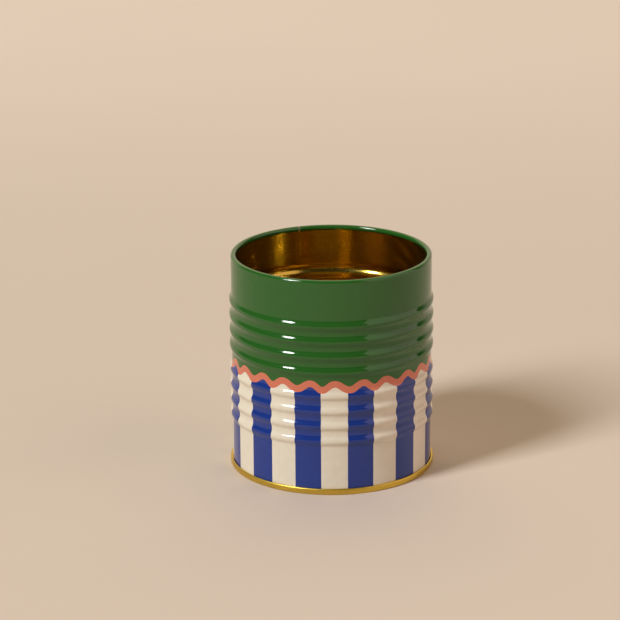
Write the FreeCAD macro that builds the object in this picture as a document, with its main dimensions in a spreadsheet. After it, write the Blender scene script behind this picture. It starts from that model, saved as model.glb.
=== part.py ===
import FreeCAD, Part
import math
import os
import re
import Sketcher

# An open storage tin: a printed tinplate drum with a rolled rim and two sets of rolled beads,
# a stamped bottom end, and the sealing ring inside the double seam that joins the two.
# Millimetres. The floor is z = 0, the tin's axis is +Z, and the side seam runs down the back, a
# little to the left of +Y.

# Driving sizes: name, value, meaning. Angles are in degrees.
SIZES = (
    ("wall_radius", 40.3, "outside of the plain wall"),
    ("rim_height", 88.2, "top of the rolled rim above the floor"),
    ("body_sheet", 0.25, "thickness of the body's sheet"),
    ("roll_radius", 1.1, "outside radius of the inward roll at the rim"),
    ("roll_tail", 40, "how far the roll runs on past its lowest point"),
    ("rim_band", 18.75, "from the rim down to the crest of the first bead"),
    ("bead_count", 4, "beads in each set"),
    ("bead_height", 0.8, "how far a crest stands out from the wall"),
    ("bead_width", 5.6, "height of wall that one bead takes up"),
    ("bead_crest", 2.4, "radius of a bead's crest"),
    ("bead_valley", 0.67, "plain wall between two beads of a set"),
    ("set_gap", 9.64, "from the last crest of the upper set to the first of the lower set"),
    ("lap_turn", 20, "how far the welded lap stands round from +Y, to the left"),
    ("lap_width", 1.2, "width of the lap"),
    ("lap_rise", 0.12, "how far the lap stands in from the wall's inner face"),
    ("lap_margin", 1.0, "bare wall left between the lap and the rim or the bottom seam"),
    ("end_sheet", 0.28, "thickness of the bottom end's sheet"),
    ("seam_height", 2.5, "height of the double seam"),
    ("seam_gap", 0.06, "clearance between the layers of the seam"),
    ("hook_clearance", 0.1, "how far each hook stops short of the bend it points into"),
    ("foot_radius", 0.5, "outside radius of the seam's two lower edges"),
    ("countersink_depth", 3.9, "top of the groove inside the seam, above the floor"),
    ("countersink_radius", 0.6, "radius of the groove's rounded top"),
    ("panel_level", 2.4, "underside of the bottom panel above the floor"),
    ("panel_radius", 0.8, "outside radius of the panel's edge"),
    ("outer_ring", 30.0, "radius of the outer stiffening ring in the panel"),
    ("inner_ring", 19.0, "radius of the inner stiffening ring in the panel"),
    ("ring_height", 0.6, "how far a ring stands up from the panel"),
    ("ring_width", 4.0, "width of panel that one ring takes up"),
    ("ring_crest", 2.0, "radius of a ring's crest, on its underside"),
    ("seal_floor", 0.18, "compound between the seam's floor and the body's hook"),
    ("seal_height", 0.34, "how far the compound rises beside the hook"),
    ("seal_clearance", 0.02, "clearance between the compound and the layers beside it"),
)
NAMES = {name for name, value, meaning in SIZES}

# Directions from a sheet's outside face into the sheet, for the straight runs
OUTWARD = ("1", "0")
INWARD = ("-1", "0")
UPWARD = ("0", "1")
DOWNWARD = ("0", "-1")

# Turns of an arc, walking along a path that has its sheet on the left
LEFT = 1
RIGHT = -1

# The body's hook and the end's hook, worked out from the layers of the double seam
HOOK_BEND = "(end_sheet / 2 + seam_gap)"
HOOK_RADIUS = f"(wall_radius + {HOOK_BEND})"
HOOK_LEVEL = f"(end_sheet + seal_floor + body_sheet + {HOOK_BEND})"
CHUCK_RADIUS = "(wall_radius - body_sheet - seam_gap - end_sheet)"
SEAM_RADIUS = "(wall_radius + 3 * seam_gap + 2 * end_sheet + body_sheet)"
SEAM_BEND = "(end_sheet + seam_gap + body_sheet / 2)"
SEAM_LEVEL = f"(seam_height - {SEAM_BEND})"

# The beads: two sets of the same count, patterned down from the topmost crest
TOP_CREST = "(rim_height - rim_band)"
SET_SPAN = "((round(bead_count) - 1) * (bead_width + bead_valley))"

# The lap down the back: its inner face, and the angle that it takes up round the axis
LAP_FACE = "(wall_radius - body_sheet - lap_rise)"
LAP_ANGLE = "(lap_width / wall_radius * 180 / pi)"


def bound(text):
    """The same expression with each size name pointing at its cell in the sheet of sizes."""
    return re.sub("[a-z_]+", lambda word: f"Sizes.{word[0]}" if word[0] in NAMES else word[0], text)


def make_sizes(doc):
    """The sheet of driving sizes, one named cell each."""
    sizes = doc.addObject("Spreadsheet::Sheet", "Sizes")
    for row, (name, value, meaning) in enumerate(SIZES, start=1):
        sizes.set(f"A{row}", meaning)
        sizes.set(f"B{row}", str(value))
        sizes.setAlias(f"B{row}", name)
    doc.recompute()


class Section:
    """A sketch on one of a body's own origin planes, with its dimensions bound to the sizes.

    The plane may be swung about the tin's axis, which is the sketch's own vertical axis.
    """

    def __init__(self, body, name, role, swing=None):
        self.sketch = body.newObject("Sketcher::SketchObject", name)
        plane = next(item for item in body.Origin.OriginFeatures if item.Role == role)
        self.sketch.AttachmentSupport = (plane, [""])
        self.sketch.MapMode = "FlatFace"
        if swing:
            turned = FreeCAD.Rotation(FreeCAD.Vector(0, 1, 0), self.value(swing))
            self.sketch.AttachmentOffset = FreeCAD.Placement(FreeCAD.Vector(0, 0, 0), turned)
            self.sketch.setExpression("AttachmentOffset.Rotation.Angle", bound(swing))
        self.rules = []
        self.texts = []

    def value(self, text):
        """What an expression of sizes comes to."""
        return float(self.sketch.evalExpression(bound(text)))

    def rule(self, kind, *places, text=None):
        """Note one constraint, with the expression that its dimension follows, if it has one."""
        numbers = () if text is None else (self.value(text),)
        self.rules.append(Sketcher.Constraint(kind, *places, *numbers))
        self.texts.append(text)

    def pin(self, end, corner):
        """Hold one end of an edge at a corner, given as radius and height."""
        for kind, axis, text in (("DistanceX", -2, corner[0]), ("DistanceY", -1, corner[1])):
            if text == "0":
                self.rule("PointOnObject", *end, axis)
            else:
                self.rule(kind, *end, text=text)

    def add_chain(self, corners, edges):
        """Draw edges through the corners and pin every corner. Gives the chain's two free ends.

        An edge is None where it is straight, or (radius, turn) where it is an arc. A chain with as
        many edges as corners closes on itself.
        """
        points = [FreeCAD.Vector(self.value(r), self.value(z), 0) for r, z in corners]
        ends = []
        for index, edge in enumerate(edges):
            start, end = points[index], points[(index + 1) % len(points)]
            if edge is None:
                geometry = self.sketch.addGeometry(Part.LineSegment(start, end))
                ends.append(((geometry, 1), (geometry, 2)))
                continue
            radius, turn = edge
            geometry = self.sketch.addGeometry(arc_between(start, end, self.value(radius), turn))
            ends.append(((geometry, 1), (geometry, 2)) if turn == LEFT else ((geometry, 2), (geometry, 1)))
            self.rule("Radius", geometry, text=radius)
        for (start, end), corner in zip(ends, corners):
            self.pin(start, corner)
        for before, after in zip(ends, ends[1:]):
            self.rule("Coincident", *before[1], *after[0])
        if len(edges) == len(corners):
            self.rule("Coincident", *ends[-1][1], *ends[0][0])
        else:
            self.pin(ends[-1][1], corners[-1])
        return ends[0][0], ends[-1][1]

    def add_sheet(self, path, near, far):
        """The closed section of a sheet that follows a path of its outside face.

        path alternates corners, each (radius, height, direction into the sheet), with edges. The
        section lies between two depths below that face.
        """
        sides = [self.add_chain(*sunk(path, depth)) for depth in (near, far)]
        for near_end, far_end in zip(*sides):
            points = [self.sketch.getPoint(*end) for end in (near_end, far_end)]
            cap = self.sketch.addGeometry(Part.LineSegment(*points))
            self.rule("Coincident", cap, 1, *near_end)
            self.rule("Coincident", cap, 2, *far_end)

    def add_bulge(self, path, depth, back):
        """The closed section between a path, at a depth below its face, and a straight back."""
        corners, edges = sunk(path, depth)
        corners += [(back, corners[-1][1]), (back, corners[0][1])]
        self.add_chain(corners, edges + [None, None, None])

    def finish(self):
        """Apply the noted constraints and bind their dimensions."""
        indexes = self.sketch.addConstraint(self.rules)
        for index, text in zip(indexes, self.texts):
            if text is not None:
                self.sketch.setExpression(f"Constraints[{index}]", bound(text))
        return self.sketch


def arc_between(start, end, radius, turn):
    """The arc of less than a half circle from start to end that turns left or right."""
    chord = end - start
    left = FreeCAD.Vector(-chord.y, chord.x, 0).normalize()
    rise = math.sqrt(max(radius ** 2 - (chord.Length / 2) ** 2, 0))
    centre = (start + end) / 2 + left * rise * turn
    first, last = (start, end) if turn == LEFT else (end, start)
    angles = [math.atan2(point.y - centre.y, point.x - centre.x) for point in (first, last)]
    if angles[1] < angles[0]:
        angles[1] += 2 * math.pi
    return Part.ArcOfCircle(Part.Circle(centre, FreeCAD.Vector(0, 0, 1), radius), *angles)


def moved(start, way, depth):
    """A coordinate moved by a depth along one part of a direction."""
    return start if way == "0" else f"{start} + ({depth}) * ({way})"


def sunk(path, depth):
    """Corners and edges of a path moved into its sheet by a depth."""
    if depth == "0":
        return [(radius, height) for radius, height, into in path[0::2]], path[1::2]
    corners = []
    for radius, height, into in path[0::2]:
        corners.append((moved(radius, into[0], depth), moved(height, into[1], depth)))
    edges = [edge and (f"{edge[0]} - ({depth}) * ({edge[1]})", edge[1]) for edge in path[1::2]]
    return corners, edges


def ridge(height, width, crest):
    """A rounded ridge: its foot radius, and the place and slope where its foot meets its crest."""
    reach = f"((({width} / 2) ^ 2 + {height} ^ 2) / (2 * {height}))"
    share = f"({crest} / {reach})"
    return {
        "foot": f"({reach} - {crest})",
        "rise": f"({height} * (1 - {share}))",
        "aside": f"({width} / 2 * {share})",
        "sine": f"({width} / (2 * {reach}))",
        "cosine": f"(1 - {height} / {reach})",
    }


def bead_path():
    """The outside face of the topmost bead, walked upwards from foot to foot."""
    bead = ridge("bead_height", "bead_width", "bead_crest")
    flank = f"wall_radius + {bead['rise']}"
    return [
        ("wall_radius", f"{TOP_CREST} - bead_width / 2", INWARD),
        (bead["foot"], RIGHT),
        (flank, f"{TOP_CREST} - {bead['aside']}", (f"-{bead['cosine']}", bead["sine"])),
        ("bead_crest", LEFT),
        (flank, f"{TOP_CREST} + {bead['aside']}", (f"-{bead['cosine']}", f"-{bead['sine']}")),
        (bead["foot"], RIGHT),
        ("wall_radius", f"{TOP_CREST} + bead_width / 2", INWARD),
    ]


def drum_path():
    """The body sheet's outside face before beading, from the tip of its hook to the tail of its roll."""
    hook_out = f"wall_radius + 2 * {HOOK_BEND}"
    roll_centre = "wall_radius - roll_radius"
    roll_level = "rim_height - roll_radius"
    tail_sine = "sin(roll_tail * 1 deg)"
    tail_cosine = "cos(roll_tail * 1 deg)"
    return [
        (hook_out, f"{SEAM_LEVEL} - hook_clearance", OUTWARD),
        None,
        (hook_out, HOOK_LEVEL, OUTWARD),
        (HOOK_BEND, RIGHT),
        (HOOK_RADIUS, f"{HOOK_LEVEL} - {HOOK_BEND}", DOWNWARD),
        (HOOK_BEND, RIGHT),
        ("wall_radius", HOOK_LEVEL, INWARD),
        None,
        ("wall_radius", roll_level, INWARD),
        ("roll_radius", LEFT),
        (roll_centre, "rim_height", DOWNWARD),
        ("roll_radius", LEFT),
        (f"{roll_centre} - roll_radius", roll_level, OUTWARD),
        ("roll_radius", LEFT),
        (roll_centre, f"{roll_level} - roll_radius", UPWARD),
        ("roll_radius", LEFT),
        (
            f"{roll_centre} + roll_radius * {tail_sine}",
            f"{roll_level} - roll_radius * {tail_cosine}",
            (f"-{tail_sine}", tail_cosine),
        ),
    ]


def end_path():
    """The bottom end's outside face, from the middle of the panel to the tip of its hook."""
    ring = ridge("ring_height", "ring_width", "ring_crest")
    step_radius = f"{CHUCK_RADIUS} - 2 * countersink_radius"
    groove_level = "countersink_depth - countersink_radius"
    path = [("0", "panel_level", UPWARD)]
    for middle in ("inner_ring", "outer_ring"):
        flank = f"panel_level + {ring['rise']}"
        path += [
            None,
            (f"{middle} - ring_width / 2", "panel_level", UPWARD),
            (ring["foot"], LEFT),
            (f"{middle} - {ring['aside']}", flank, (f"-{ring['sine']}", ring["cosine"])),
            ("ring_crest", RIGHT),
            (f"{middle} + {ring['aside']}", flank, (ring["sine"], ring["cosine"])),
            (ring["foot"], LEFT),
            (f"{middle} + ring_width / 2", "panel_level", UPWARD),
        ]
    countersink = [
        None,
        (f"{step_radius} - panel_radius", "panel_level", UPWARD),
        ("panel_radius", LEFT),
        (step_radius, "panel_level + panel_radius", INWARD),
        None,
        (step_radius, groove_level, INWARD),
        ("countersink_radius", RIGHT),
        (f"{step_radius} + countersink_radius", "countersink_depth", UPWARD),
        ("countersink_radius", RIGHT),
        (CHUCK_RADIUS, groove_level, OUTWARD),
    ]
    seam = [
        None,
        (CHUCK_RADIUS, "foot_radius", OUTWARD),
        ("foot_radius", LEFT),
        (f"{CHUCK_RADIUS} + foot_radius", "0", UPWARD),
        None,
        (f"{SEAM_RADIUS} - foot_radius", "0", UPWARD),
        ("foot_radius", LEFT),
        (SEAM_RADIUS, "foot_radius", INWARD),
        None,
        (SEAM_RADIUS, SEAM_LEVEL, INWARD),
        (SEAM_BEND, LEFT),
        (f"{SEAM_RADIUS} - {SEAM_BEND}", "seam_height", DOWNWARD),
        (SEAM_BEND, LEFT),
        ("wall_radius + seam_gap", SEAM_LEVEL, OUTWARD),
        None,
        ("wall_radius + seam_gap", f"{HOOK_LEVEL} + hook_clearance", OUTWARD),
    ]
    return path + countersink + seam


def seal_outline():
    """Corners and edges of the compound: it fills the seam's channel up to the body's hook."""
    inner = "wall_radius - body_sheet - seam_gap + seal_clearance"
    outer = f"{SEAM_RADIUS} - end_sheet - seal_clearance"
    corner = "(foot_radius - end_sheet)"
    top = "end_sheet + seal_height"
    notch = f"({HOOK_BEND} + body_sheet + seal_clearance)"
    aside = f"sqrt({notch} ^ 2 - ({HOOK_LEVEL} - {top.replace('+', '-')}) ^ 2)"
    corners = [
        (f"{inner} + {corner}", "end_sheet"),
        (f"{outer} - {corner}", "end_sheet"),
        (outer, f"end_sheet + {corner}"),
        (outer, top),
        (f"{HOOK_RADIUS} + {aside}", top),
        (HOOK_RADIUS, f"{HOOK_LEVEL} - {notch}"),
        (f"{HOOK_RADIUS} - {aside}", top),
        (inner, top),
        (inner, f"end_sheet + {corner}"),
    ]
    edges = [None, (corner, LEFT), None, None, (notch, RIGHT), (notch, RIGHT), None, None, (corner, LEFT)]
    return corners, edges


def add_turned(body, kind, section, name, angle=None):
    """Turn a section about the tin's axis, all the way round or through an angle about its plane."""
    turned = body.newObject(f"PartDesign::{kind}", name)
    turned.Profile = section.finish()
    turned.ReferenceAxis = (turned.Profile[0], ["V_Axis"])
    turned.Angle = 360
    if angle:
        turned.Midplane = True
        turned.setExpression("Angle", bound(angle))
    return turned


def add_pattern(body, name, count, span):
    """Copies of a feature spread evenly downwards over a span."""
    pattern = body.newObject("PartDesign::LinearPattern", name)
    axis = next(item for item in body.Origin.OriginFeatures if item.Role == "Z_Axis")
    pattern.Direction = (axis, [""])
    pattern.Reversed = True
    pattern.setExpression("Occurrences", bound(count))
    pattern.setExpression("Length", bound(span))
    return pattern


def make_can_body(doc):
    """The printed drum: rolled rim, wall with beads, hook for the seam, and the lap down the back."""
    body = doc.addObject("PartDesign::Body", "can_body")
    drum = Section(body, "drum_section", "XZ_Plane")
    drum.add_sheet(drum_path(), "0", "body_sheet")
    add_turned(body, "Revolution", drum, "drum")

    lap = Section(body, "lap_section", "YZ_Plane", "lap_turn")
    lap_low = "seam_height + lap_margin"
    lap_high = "rim_height - 2 * roll_radius - lap_margin"
    lap_inside = "wall_radius - body_sheet / 2"
    corners = [(LAP_FACE, lap_low), (lap_inside, lap_low), (lap_inside, lap_high), (LAP_FACE, lap_high)]
    lap.add_chain(corners, [None] * 4)
    add_turned(body, "Revolution", lap, "side_lap", LAP_ANGLE)

    crest = Section(body, "crest_section", "XZ_Plane")
    crest.add_bulge(bead_path(), "0", "wall_radius - body_sheet / 2")
    hollow = Section(body, "hollow_section", "XZ_Plane")
    hollow.add_bulge(bead_path(), "body_sheet", f"{LAP_FACE} - body_sheet")
    lap_bend = Section(body, "lap_bend_section", "YZ_Plane", "lap_turn")
    lap_bend.add_sheet(bead_path(), "body_sheet / 2", "body_sheet + lap_rise")
    bead = [
        add_turned(body, "Revolution", crest, "bead_crest_ring"),
        add_turned(body, "Groove", hollow, "bead_hollow"),
        add_turned(body, "Revolution", lap_bend, "bead_lap", LAP_ANGLE),
    ]
    beads = body.newObject("PartDesign::MultiTransform", "beads")
    beads.Originals = bead
    beads.Transformations = [
        add_pattern(body, "beads_of_a_set", "round(bead_count)", SET_SPAN),
        add_pattern(body, "sets_of_beads", "2", f"{SET_SPAN} + set_gap"),
    ]
    body.Tip = beads
    return body


def make_bottom_end(doc):
    """The stamped bottom: panel with two stiffening rings, countersink, and the double seam's cover."""
    body = doc.addObject("PartDesign::Body", "bottom_end")
    section = Section(body, "end_section", "XZ_Plane")
    section.add_sheet(end_path(), "0", "end_sheet")
    add_turned(body, "Revolution", section, "end")
    return body


def make_seam_compound(doc):
    """The sealing ring that lies in the seam's channel under the body's hook."""
    body = doc.addObject("PartDesign::Body", "seam_compound")
    section = Section(body, "seal_section", "XZ_Plane")
    section.add_chain(*seal_outline())
    add_turned(body, "Revolution", section, "seal")
    return body


def check(doc, pieces):
    """Stop on any failed object, or on a piece that is not one sound solid."""
    for item in doc.Objects:
        if {"Invalid", "Error"} & set(item.State):
            raise RuntimeError(f"{item.Label} failed: {item.State}")
    for piece in pieces:
        shape = piece.Shape
        if shape.isNull() or not shape.isValid() or len(shape.Solids) != 1:
            raise RuntimeError(f"{piece.Label} is not one sound solid")


def main():
    doc = FreeCAD.newDocument("storage_tin")
    make_sizes(doc)
    pieces = [make_can_body(doc), make_bottom_end(doc), make_seam_compound(doc)]
    doc.recompute()
    check(doc, pieces)
    os.makedirs("parts", exist_ok=True)
    for piece in pieces:
        piece.Shape.exportStep(f"parts/{piece.Label}.step")
        print(f"{piece.Label}: {piece.Shape.Volume:.1f} mm3, {len(piece.Shape.Faces)} faces")


main()
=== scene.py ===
import math
import bmesh
import bpy
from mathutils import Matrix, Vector


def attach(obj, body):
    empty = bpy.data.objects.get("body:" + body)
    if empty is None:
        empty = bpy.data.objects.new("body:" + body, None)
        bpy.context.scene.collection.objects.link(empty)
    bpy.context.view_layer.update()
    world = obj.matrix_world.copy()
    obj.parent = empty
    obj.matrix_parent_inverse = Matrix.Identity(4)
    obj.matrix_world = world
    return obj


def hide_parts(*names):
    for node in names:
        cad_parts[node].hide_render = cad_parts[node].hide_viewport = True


# An open printed storage tin on a pale floor. The sheet-metal pieces are turned from the walk of
# their outside face, with the sheet always on the left of the walk. Profiles are in millimetres.

MM = 0.001
OUTSIDE_STEP = 4.5        # degrees of bend between two points of a profile, outside
INSIDE_STEP = 7.5         # the same, inside
TIGHT_STEP = 10.0         # the same, in tight bends
TIGHT_BEND = 1.5          # largest radius of a tight bend
ROUND_STEPS = 180         # steps round the tin
SHARP_ANGLE = 40.0        # degrees between two faces whose edge stays sharp
NEAR_AXIS = 1e-9          # metres from the axis within which a point lies on it
JOIN_DISTANCE = 1e-7      # metres between points that are joined there
OUTSIDE, INSIDE, BARE = range(3)    # material slots of a turned piece

# The body's sheet
RIM_HEIGHT = 88.2
WALL_RADIUS = 40.3
BODY_SHEET = 0.25
ROLL_RADIUS = 1.1
ROLL_TAIL = 40.0          # degrees past three quarters of a turn
RIM_BAND = 18.75          # rim to the first crest
BEAD_COUNT = 4
BEAD_PITCH = 6.27
BEAD_HEIGHT = 0.8
BEAD_WIDTH = 5.6
BEAD_CREST = 2.4          # radius of a crest
SET_GAP = 9.64            # last upper crest to first lower crest

# The lap down the back, raised on the inside, with the weld's bare metal outside
LAP_BEARING = 200.0       # degrees round from the front, to the right
LAP_WIDTH = 1.2
LAP_RISE = 0.12
LAP_TOP = 0.8             # share of the lap's width that is fully raised
LAP_CLEAR = 1.2           # share of the lap's width that is kept free of the even steps
LAP_MARGIN = 1.0          # the lap stops this far from the seam and the roll
WELD_WIDTH = 0.6

# The bottom end and its double seam
END_SHEET = 0.28
SEAM_HEIGHT = 2.5
SEAM_GAP = 0.06
HOOK_CLEARANCE = 0.1
SEAL_FLOOR = 0.18
FOOT_RADIUS = 0.5
COUNTERSINK_TOP = 3.9
COUNTERSINK_RADIUS = 0.6
PANEL_LEVEL = 2.4
PANEL_RADIUS = 0.8
RINGS = (19.0, 30.0)
RING_HEIGHT = 0.6
RING_WIDTH = 4.0
RING_CREST = 2.0

# Worked out from the sizes above; the two half widths are in degrees round the tin
HALF_LAP = math.degrees(LAP_WIDTH / 2 / WALL_RADIUS)
HALF_WELD = math.degrees(WELD_WIDTH / 2 / WALL_RADIUS)
HOOK_BEND = END_SHEET / 2 + SEAM_GAP
HOOK_LEVEL = END_SHEET + SEAL_FLOOR + BODY_SHEET + HOOK_BEND
CHUCK_RADIUS = WALL_RADIUS - BODY_SHEET - SEAM_GAP - END_SHEET
SEAM_RADIUS = WALL_RADIUS + 3 * SEAM_GAP + 2 * END_SHEET + BODY_SHEET
SEAM_BEND = END_SHEET + SEAM_GAP + BODY_SHEET / 2
SEAM_LEVEL = SEAM_HEIGHT - SEAM_BEND

# The print: stripes and a wavy band, in degrees round from the front and millimetres of height
STRIPE = 15.0
CREAM_MIDDLE = 1.5        # middle of the cream stripe at the front
WAVE_LEVEL = 44.85
WAVE_SWING = 1.2
WAVE_HALF = 1.35          # half the band's thickness
WAVE_LEAD = 0.95          # crests sit this far past the middle of their stripe, on average
WAVE_LEAD_SWING = 0.65    # more of it on blue, less on cream
PRINT_EDGE = 0.04         # softness of a printed edge
PRINT_IOR = 1.52

GREEN = (0.0195, 0.107, 0.0138, 1)
BLUE = (0.0108, 0.0363, 0.228, 1)
CREAM = (0.768, 0.70, 0.562, 1)
CORAL = (0.635, 0.176, 0.101, 1)
GOLD = (0.60, 0.42, 0.07, 1)            # inside
SEAM_GOLD_WITH_PAINTED_LIGHT = (0.73, 0.51, 0.085, 1)      # the outside of the bottom end: the inside's gold lacquer made lighter, which is painted light
TINPLATE = (0.30, 0.295, 0.28, 1)
COMPOUND = (0.10, 0.095, 0.085, 1)

# The floor: a square that reaches this many metres each way, and where painted light makes it paler
# behind the tin, in millimetres
FLOOR_REACH = 6.0
FLOOR = (0.632, 0.543, 0.468, 1)
# Painted light: the floor's colour far behind the tin, paler than its own colour FLOOR
FLOOR_BEHIND_PAINTED_LIGHT = (0.825, 0.71, 0.62, 1)
FADE_START = 150.0
FADE_END = 1000.0

# The camera, on the front side: distances in metres, angles in degrees
AIM_HEIGHT = 0.0637
CAMERA_DISTANCE = 1.073
CAMERA_ELEVATION = 17.78
CAMERA_LENS = 154.7
CAMERA_YAW_OFFSET = -0.0086   # where the camera points beside the tin's axis, to the left
CAMERA_ROLL = -0.35

# Lights: bearings in degrees from the front to the right, distances in metres
SOFTBOX_BEARING = -53.0
SOFTBOX_ELEVATION = 40.0
SOFTBOX_DISTANCE = 8.0
SOFTBOX_SIZE = (1.6, 3.7)
SOFTBOX_POWER = 577.0
PANEL_BEARING = 75.0
PANEL_DISTANCE = 1.2
PANEL_SIZE = (1.7, 2.2)
PANEL_CLEARANCE = 0.02    # floor to the panel's lower edge
PANEL_POWER = 12.0
PANEL_COLOUR = (1.0, 0.76, 0.70)

# The studio round the tin: each fade is from one cosine of the angle to its middle to another
ROOM_COLOUR = (0.035, 0.032, 0.028, 1)
BACKDROP_COLOUR = (0.75, 0.62, 0.48, 1)
BACKDROP_FADE = (0.46, 0.74)
CEILING_COLOUR = (1.2, 0.98, 0.6, 1)
CEILING_FADE = (0.75, 0.92)
CEILING_LEAN = 37.0       # degrees back from overhead to the middle of the lit ceiling

# Sockets of a mix node that takes colours: its factor and two colours, and its result
MIX_INPUTS = (0, 6, 7)
MIX_OUTPUT = 2


class Walk:
    """The walk along a sheet's outside face: points as (radius, height, heading in degrees)."""

    def __init__(self, radius, height, heading, step):
        self.radius = radius
        self.height = height
        self.heading = heading
        self.step = step
        self.points = [(radius, height, heading)]

    def go(self, length):
        """Straight on."""
        self.radius += length * math.cos(math.radians(self.heading))
        self.height += length * math.sin(math.radians(self.heading))
        self.points.append((self.radius, self.height, self.heading))

    def turn(self, radius, angle):
        """Round an arc, to the left where the angle is positive."""
        step = self.step if radius > TIGHT_BEND else TIGHT_STEP
        steps = max(2, math.ceil(abs(angle) / step))
        chord = 2 * radius * math.sin(math.radians(abs(angle) / steps / 2))
        for _ in range(steps):
            self.heading += angle / steps / 2
            self.radius += chord * math.cos(math.radians(self.heading))
            self.height += chord * math.sin(math.radians(self.heading))
            self.heading += angle / steps / 2
            self.points.append((self.radius, self.height, self.heading))

    def ridge(self, height, width, crest, side):
        """Over a rounded ridge with smooth feet that stands out to the left (1) or right (-1)."""
        reach = ((width / 2) ** 2 + height ** 2) / (2 * height)
        slope = math.degrees(math.asin(width / (2 * reach)))
        self.turn(reach - crest, slope * side)
        self.turn(crest, -2 * slope * side)
        self.turn(reach - crest, slope * side)

    def sunk(self, depth):
        """The same points moved into the sheet by a depth, as (radius, height)."""
        moved = []
        for radius, height, heading in self.points:
            angle = math.radians(heading)
            moved.append((radius - depth * math.sin(angle), height + depth * math.cos(angle)))
        return moved


def body_walk(step):
    """From the tip of the hook, round it, up the beaded wall and into the rolled rim."""
    last_upper = RIM_HEIGHT - RIM_BAND - (BEAD_COUNT - 1) * BEAD_PITCH
    last_lower = last_upper - SET_GAP - (BEAD_COUNT - 1) * BEAD_PITCH
    tip = SEAM_LEVEL - HOOK_CLEARANCE
    walk = Walk(WALL_RADIUS + 2 * HOOK_BEND, tip, -90, step)
    walk.go(tip - HOOK_LEVEL)
    walk.turn(HOOK_BEND, -180)
    for lowest in (last_lower, last_upper):
        for bead in range(BEAD_COUNT):
            walk.go(lowest + bead * BEAD_PITCH - BEAD_WIDTH / 2 - walk.height)
            walk.ridge(BEAD_HEIGHT, BEAD_WIDTH, BEAD_CREST, -1)
    walk.go(RIM_HEIGHT - ROLL_RADIUS - walk.height)
    walk.turn(ROLL_RADIUS, 270 + ROLL_TAIL)
    return walk


def end_walk(step):
    """From the panel's middle, over its rings and the countersink, and round the double seam."""
    step_radius = CHUCK_RADIUS - 2 * COUNTERSINK_RADIUS
    walk = Walk(0, PANEL_LEVEL, 0, step)
    for middle in RINGS:
        walk.go(middle - RING_WIDTH / 2 - walk.radius)
        walk.ridge(RING_HEIGHT, RING_WIDTH, RING_CREST, 1)
    walk.go(step_radius - PANEL_RADIUS - walk.radius)
    walk.turn(PANEL_RADIUS, 90)
    walk.go(COUNTERSINK_TOP - COUNTERSINK_RADIUS - walk.height)
    walk.turn(COUNTERSINK_RADIUS, -180)
    walk.go(walk.height - FOOT_RADIUS)
    walk.turn(FOOT_RADIUS, 90)
    walk.go(SEAM_RADIUS - FOOT_RADIUS - walk.radius)
    walk.turn(FOOT_RADIUS, 90)
    walk.go(SEAM_LEVEL - walk.height)
    walk.turn(SEAM_BEND, 180)
    walk.go(walk.height - HOOK_LEVEL - HOOK_CLEARANCE)
    return walk


def near_lap(bearing, lap_at, reach):
    """Whether a bearing is within a reach of the lap, where there is one."""
    return lap_at is not None and abs(bearing - lap_at) < reach


def bearings(lap_at):
    """Bearings of the mesh's steps round the tin, with closer ones across the lap."""
    even = [360 * step / ROUND_STEPS for step in range(ROUND_STEPS)]
    if lap_at is None:
        return even
    clear = [bearing for bearing in even if not near_lap(bearing, lap_at, HALF_LAP * LAP_CLEAR)]
    aside = (HALF_WELD, HALF_LAP * LAP_TOP, HALF_LAP)
    return sorted(clear + [lap_at + side * angle for side in (-1, 1) for angle in aside])


def turned_points(ring, first_inside, around, lap_at):
    """The points of a profile at every bearing, with the lap raised on the inside of the wall."""
    raised_reach = HALF_LAP * (1 + LAP_TOP) / 2
    lap_foot = SEAM_HEIGHT + LAP_MARGIN
    lap_head = RIM_HEIGHT - 2 * ROLL_RADIUS - LAP_MARGIN
    points = []
    for bearing in around:
        angle = math.radians(bearing)
        raised = LAP_RISE if near_lap(bearing, lap_at, raised_reach) else 0
        for index, (radius, height) in enumerate(ring):
            on_wall = index >= first_inside and lap_foot < height < lap_head
            reach = radius - raised if on_wall else radius
            points.append((reach * math.sin(angle) * MM, -reach * math.cos(angle) * MM, height * MM))
    return points


def turned_faces(count, first_inside, around, lap_at):
    """The faces between neighbouring bearings, and each face's material slot."""
    faces = []
    slots = []
    for turn, bearing in enumerate(around):
        after = (turn + 1) % len(around)
        middle = bearing + ((around[after] - bearing) % 360) / 2
        outer_slot = BARE if near_lap(middle, lap_at, HALF_WELD) else OUTSIDE
        start = turn * count
        finish = after * count
        for index in range(count):
            up = (index + 1) % count
            faces.append([start + index, finish + index, finish + up, start + up])
            if index in (first_inside - 1, count - 1):
                slots.append(BARE)
            elif index >= first_inside:
                slots.append(INSIDE)
            else:
                slots.append(outer_slot)
    return faces, slots


def join_on_axis(mesh):
    """Join the points that lie on the axis and drop the faces that they close up."""
    work = bmesh.new()
    work.from_mesh(mesh)
    on_axis = [point for point in work.verts if point.co.xy.length < NEAR_AXIS]
    bmesh.ops.remove_doubles(work, verts=on_axis, dist=JOIN_DISTANCE)
    work.to_mesh(mesh)
    work.free()


def turned_piece(name, make_walk, sheet, lap_at=None):
    """A closed sheet turned about the axis."""
    outside = make_walk(OUTSIDE_STEP).sunk(0)
    inside = make_walk(INSIDE_STEP).sunk(sheet)
    ring = outside + inside[::-1]
    around = bearings(lap_at)
    points = turned_points(ring, len(outside), around, lap_at)
    faces, slots = turned_faces(len(ring), len(outside), around, lap_at)
    mesh = bpy.data.meshes.new(name)
    mesh.from_pydata(points, [], faces)
    mesh.polygons.foreach_set("material_index", slots)
    mesh.validate()
    join_on_axis(mesh)
    mesh.polygons.foreach_set("use_smooth", [True] * len(mesh.polygons))
    mesh.set_sharp_from_angle(angle=math.radians(SHARP_ANGLE))
    piece = bpy.data.objects.new(name, mesh)
    bpy.context.scene.collection.objects.link(piece)
    return piece


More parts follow.
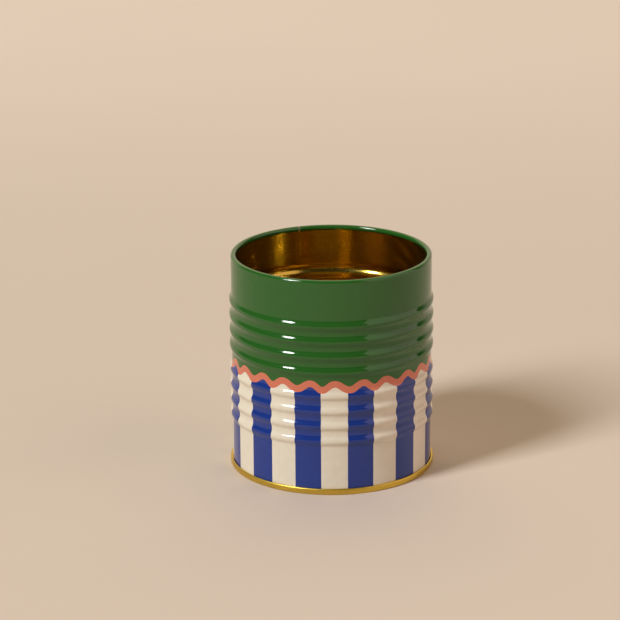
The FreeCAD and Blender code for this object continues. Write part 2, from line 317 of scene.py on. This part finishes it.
class Graph:
    """The nodes of a material or world, with short ways to add the ones used here."""

    def __init__(self, owner):
        self.tree = owner.node_tree
        self.shader = self.tree.nodes.get("Principled BSDF")

    def node(self, kind, *inputs, **settings):
        """Add a node, set its properties, and link or set its inputs in order."""
        made = self.tree.nodes.new(kind)
        for key, value in settings.items():
            setattr(made, key, value)
        for socket, value in zip(made.inputs, inputs):
            self.feed(socket, value)
        return made

    def feed(self, socket, value):
        """Link a socket to another, or set it to a plain value."""
        if isinstance(value, bpy.types.NodeSocket):
            self.tree.links.new(value, socket)
        else:
            socket.default_value = value

    def math(self, operation, *inputs):
        return self.node("ShaderNodeMath", *inputs, operation=operation).outputs[0]

    def ramp(self, value, low, high, first=0.0, last=1.0):
        """A smooth change from first to last while the value goes from low to high."""
        limits = (low, high, first, last)
        made = self.node("ShaderNodeMapRange", value, *limits, interpolation_type="SMOOTHSTEP")
        return made.outputs[0]

    def mix(self, factor, one, other):
        """One colour where the factor is 0, the other where it is 1."""
        made = self.node("ShaderNodeMix", data_type="RGBA")
        for index, value in zip(MIX_INPUTS, (factor, one, other)):
            self.feed(made.inputs[index], value)
        return made.outputs[MIX_OUTPUT]

    def noise(self, vector, scale, detail=2.0):
        made = self.node("ShaderNodeTexNoise")
        self.feed(made.inputs["Vector"], vector)
        made.inputs["Scale"].default_value = scale
        made.inputs["Detail"].default_value = detail
        return made.outputs[0]

    def scaled(self, vector, factor):
        """A vector or colour times one number."""
        made = self.node("ShaderNodeVectorMath", vector, operation="SCALE")
        self.feed(made.inputs["Scale"], factor)
        return made.outputs[0]

    def stretched(self, vector, factors):
        """A vector times a number for each axis."""
        return self.node("ShaderNodeVectorMath", vector, factors, operation="MULTIPLY").outputs[0]

    def place(self):
        """The point on the piece, in millimetres."""
        return self.scaled(self.node("ShaderNodeTexCoord").outputs["Object"], 1 / MM)

    def parts(self, vector):
        """A vector's x, y and z."""
        return self.node("ShaderNodeSeparateXYZ", vector).outputs

    def bump(self, height, distance):
        """Roughen the surface by a height, at most by a distance in metres."""
        made = self.node("ShaderNodeBump")
        made.inputs["Distance"].default_value = distance
        self.feed(made.inputs["Height"], height)
        self.feed(self.shader.inputs["Normal"], made.outputs[0])

    def set(self, **values):
        """Link or set inputs of the surface shader by name."""
        for name, value in values.items():
            self.feed(self.shader.inputs[name.replace("_", " ")], value)


def new_material(name):
    material = bpy.data.materials.new(name)
    material.use_nodes = True
    return material


def dimmed(colour, share):
    """A share of a colour's light."""
    return tuple(part * share for part in colour[:3]) + (1,)


def stripe_colour(graph, bearing):
    """Cream and blue stripes of one width. Cream fills a quarter of a pair each side of its middle."""
    pair_width = math.radians(2 * STRIPE) * WALL_RADIUS
    edge = PRINT_EDGE / pair_width
    cycle = graph.math("DIVIDE", graph.math("SUBTRACT", bearing, CREAM_MIDDLE), 2 * STRIPE)
    part = graph.math("SUBTRACT", graph.math("FRACT", graph.math("ADD", cycle, 0.5)), 0.5)
    blue = graph.ramp(graph.math("ABSOLUTE", part), 0.25 - edge, 0.25 + edge)
    return graph.mix(blue, CREAM, BLUE)


def height_over_wave(graph, bearing, height):
    """Millimetres above the middle of the wavy band, measured square to the band."""
    turn = graph.math("MULTIPLY", graph.math("SUBTRACT", bearing, CREAM_MIDDLE), math.pi / STRIPE)
    per_degree = 2 * math.pi / STRIPE
    lead_swing = graph.math("MULTIPLY", graph.math("COSINE", turn), -per_degree * WAVE_LEAD_SWING)
    phase = graph.math("SUBTRACT", graph.math("MULTIPLY", turn, 2.0), lead_swing)
    phase = graph.math("SUBTRACT", phase, per_degree * WAVE_LEAD)
    middle = graph.math("MULTIPLY_ADD", graph.math("COSINE", phase), WAVE_SWING, WAVE_LEVEL)
    steepest = WAVE_SWING * 2 * math.pi / (math.radians(STRIPE) * WALL_RADIUS)
    slope = graph.math("MULTIPLY", graph.math("SINE", phase), steepest)
    stretch = graph.math("SQRT", graph.math("MULTIPLY_ADD", slope, slope, 1.0))
    return graph.math("DIVIDE", graph.math("SUBTRACT", height, middle), stretch)


def print_material():
    """The lacquered print: green above, stripes below, and a wavy band between them."""
    material = new_material("lacquered_print")
    graph = Graph(material)
    place = graph.place()
    x, y, z = graph.parts(place)
    bearing = graph.math("DEGREES", graph.math("ARCTAN2", x, graph.math("MULTIPLY", y, -1.0)))
    away = height_over_wave(graph, bearing, z)
    above = graph.ramp(away, -PRINT_EDGE, PRINT_EDGE)
    distance = graph.math("ABSOLUTE", away)
    outside_band = graph.ramp(distance, WAVE_HALF - PRINT_EDGE, WAVE_HALF + PRINT_EDGE)
    colour = graph.mix(outside_band, CORAL, graph.mix(above, stripe_colour(graph, bearing), GREEN))

    mottle = graph.noise(place, scale=0.35, detail=4.0)
    shade = graph.ramp(mottle, low=0.2, high=0.8, first=0.975, last=1.025)
    smears = graph.noise(place, scale=0.12, detail=3.0)
    gloss = graph.ramp(smears, low=0.3, high=0.7, first=0.06, last=0.10)
    graph.set(Base_Color=graph.scaled(colour, shade), IOR=PRINT_IOR, Roughness=gloss)
    graph.bump(graph.noise(place, scale=0.9), distance=0.000005)
    return material


def gold_material(name, colour, polish, fleck):
    """Gold lacquer on tinplate: a soft mirror, flecked by the grain of the rolled sheet."""
    material = new_material(name)
    graph = Graph(material)
    place = graph.place()
    flecks = graph.noise(graph.stretched(place, (1.0, 1.0, 2.0)), scale=5.0)
    cloud = graph.noise(place, scale=0.1, detail=3.0)
    tone = graph.mix(graph.ramp(cloud, low=0.3, high=0.7), colour, dimmed(colour, 0.92))
    roughness = graph.ramp(flecks, low=0.55, high=0.75, first=polish, last=fleck)
    graph.set(Base_Color=tone, Metallic=1.0, Roughness=roughness)
    graph.bump(cloud, distance=0.00001)
    return material


def tinplate_material():
    """Bare tinplate, along the weld and on the sheet's cut edges."""
    material = new_material("bare_tinplate")
    graph = Graph(material)
    grain = graph.noise(graph.stretched(graph.place(), (1.0, 1.0, 0.1)), scale=3.0, detail=4.0)
    tone = graph.mix(graph.ramp(grain, low=0.3, high=0.7), TINPLATE, dimmed(TINPLATE, 0.8))
    roughness = graph.ramp(grain, low=0.3, high=0.7, first=0.3, last=0.42)
    graph.set(Base_Color=tone, Metallic=1.0, Roughness=roughness)
    graph.bump(grain, distance=0.00001)
    return material


def compound_material():
    """The seam's rubbery sealing compound."""
    material = new_material("sealing_compound")
    graph = Graph(material)
    speckle = graph.noise(graph.place(), scale=1.5, detail=4.0)
    tone = graph.mix(graph.ramp(speckle, low=0.3, high=0.7), COMPOUND, dimmed(COMPOUND, 0.7))
    graph.set(Base_Color=tone, Roughness=graph.ramp(speckle, low=0.3, high=0.7, first=0.7, last=0.85))
    graph.bump(speckle, distance=0.00003)
    return material


def floor_material():
    """Smooth pale paper, with painted light that makes it paler behind the tin."""
    material = new_material("pale_paper")
    graph = Graph(material)
    place = graph.place()
    _, y, _ = graph.parts(place)
    # Painted light: the paper turns paler from FADE_START to FADE_END behind the tin
    tone = graph.mix(graph.ramp(y, FADE_START, FADE_END), FLOOR, FLOOR_BEHIND_PAINTED_LIGHT)
    clouds = graph.noise(place, scale=0.004, detail=3.0)
    shade = graph.ramp(clouds, low=0.3, high=0.7, first=0.99, last=1.0)
    graph.set(Base_Color=graph.scaled(tone, shade), Roughness=0.9, Specular_IOR_Level=0.2)
    return material


def make_floor():
    """A wide flat floor under the tin."""
    sides = ((-1, -1), (1, -1), (1, 1), (-1, 1))
    corners = [(across * FLOOR_REACH, along * FLOOR_REACH, 0) for across, along in sides]
    mesh = bpy.data.meshes.new("floor")
    mesh.from_pydata(corners, [], [(0, 1, 2, 3)])
    mesh.materials.append(floor_material())
    floor = bpy.data.objects.new("floor", mesh)
    bpy.context.scene.collection.objects.link(floor)


def direction(bearing, elevation):
    """Unit vector towards a bearing, from the front to the right, and an elevation."""
    around = math.radians(bearing)
    up = math.radians(elevation)
    return Vector((math.sin(around) * math.cos(up), -math.cos(around) * math.cos(up), math.sin(up)))


def aimed(thing, name, place, target):
    """Add a light or camera that looks from a place at a target."""
    made = bpy.data.objects.new(name, thing)
    made.location = place
    made.rotation_euler = (target - place).to_track_quat("-Z", "Y").to_euler()
    bpy.context.scene.collection.objects.link(made)
    return made


def make_camera():
    """A long lens in front of the tin, a little above it."""
    aim = Vector((0, 0, AIM_HEIGHT))
    place = aim + direction(0, CAMERA_ELEVATION) * CAMERA_DISTANCE
    data = bpy.data.cameras.new("camera")
    data.lens = CAMERA_LENS
    camera = aimed(data, "camera", place, aim + Vector((CAMERA_YAW_OFFSET, 0, 0)))
    camera.rotation_euler.rotate_axis("Z", math.radians(CAMERA_ROLL))
    bpy.context.scene.camera = camera


def area_light(name, centre, towards, distance, size, power, colour=(1, 1, 1)):
    """A flat light at a distance from a centre, facing it."""
    light = bpy.data.lights.new(name, "AREA")
    light.shape = "RECTANGLE"
    light.size, light.size_y = size
    light.energy = power
    light.color = colour
    aimed(light, name, centre + towards * distance, centre)


def make_lights():
    """A softbox high on the left, and a dim panel on the right."""
    centre = Vector((0, 0, RIM_HEIGHT / 2 * MM))
    towards = direction(SOFTBOX_BEARING, SOFTBOX_ELEVATION)
    area_light("softbox", centre, towards, SOFTBOX_DISTANCE, SOFTBOX_SIZE, SOFTBOX_POWER)
    centre = Vector((0, 0, PANEL_SIZE[1] / 2 + PANEL_CLEARANCE))
    towards = direction(PANEL_BEARING, 0)
    area_light("panel", centre, towards, PANEL_DISTANCE, PANEL_SIZE, PANEL_POWER, PANEL_COLOUR)


def make_world():
    """A paper backdrop behind the tin, a ceiling lit above and behind it, and a dark room in front."""
    world = bpy.data.worlds.new("studio")
    world.use_nodes = True
    graph = Graph(world)
    _, back, up = graph.parts(graph.node("ShaderNodeTexCoord").outputs["Generated"])
    lean = math.radians(CEILING_LEAN)
    leaning_back = graph.math("MULTIPLY", back, math.sin(lean))
    towards_ceiling = graph.math("MULTIPLY_ADD", up, math.cos(lean), leaning_back)
    walls = graph.mix(graph.ramp(back, *BACKDROP_FADE), ROOM_COLOUR, BACKDROP_COLOUR)
    light = graph.mix(graph.ramp(towards_ceiling, *CEILING_FADE), walls, CEILING_COLOUR)
    graph.feed(world.node_tree.nodes["Background"].inputs["Color"], light)
    bpy.context.scene.world = world


def dress(piece, node, materials):
    """Give a piece its materials and tie it to the frame."""
    for material in materials:
        piece.data.materials.append(material)
    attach(piece, "root")
    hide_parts(node)


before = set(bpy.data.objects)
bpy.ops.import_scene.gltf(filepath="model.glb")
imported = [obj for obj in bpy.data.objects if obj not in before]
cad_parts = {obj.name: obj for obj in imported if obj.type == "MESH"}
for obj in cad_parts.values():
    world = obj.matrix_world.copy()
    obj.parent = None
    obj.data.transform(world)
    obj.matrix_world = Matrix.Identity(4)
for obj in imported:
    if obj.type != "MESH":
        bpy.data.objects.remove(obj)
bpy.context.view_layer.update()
bright_gold = gold_material("bright_gold_lacquer", GOLD, polish=0.15, fleck=0.42)
# Painted light: the bottom end's outside takes the gold lacquer in a lighter colour than the inside
soft_gold_with_painted_light = gold_material("soft_gold_lacquer", SEAM_GOLD_WITH_PAINTED_LIGHT, polish=0.40, fleck=0.47)
tinplate = tinplate_material()
drum = turned_piece("printed_drum", body_walk, BODY_SHEET, LAP_BEARING)
dress(drum, "can_body", [print_material(), bright_gold, tinplate])
bottom = turned_piece("gold_bottom", end_walk, END_SHEET)
dress(bottom, "bottom_end", [soft_gold_with_painted_light, bright_gold, tinplate])
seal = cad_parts["seam_compound"].data
seal.materials.clear()
seal.materials.append(compound_material())
make_floor()
make_camera()
make_lights()
make_world()
bpy.context.scene.view_settings.view_transform = "Standard"
